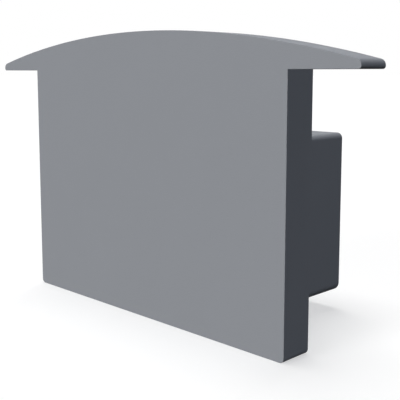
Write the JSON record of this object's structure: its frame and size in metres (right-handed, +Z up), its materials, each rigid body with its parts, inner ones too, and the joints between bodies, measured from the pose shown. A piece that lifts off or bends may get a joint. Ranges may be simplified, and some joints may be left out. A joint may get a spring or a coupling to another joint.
{
  "type": "profile end cap",
  "caption": "Push-in end cap for a recessed T-shaped light-strip profile: a flat plate with side wings and a domed head, and a rounded plug on its back.",
  "frame": {"origin": "on the plate's back face, which seats on the profile's cut end, midway between the sides and level with the underside of the wings", "axes": "+Z up, towards the domed head; +X along the wings; +Y out of the plate's back, the way the plug points into the profile; the show face looks along -Y"},
  "size_m": [0.0262, 0.0086, 0.0149],
  "materials": {
    "moulded_plastic": "matte grey moulding with a fine even grain"
  },
  "bodies": {
    "root": {"end_cap": "moulded_plastic"}
  },
  "joints": []
}
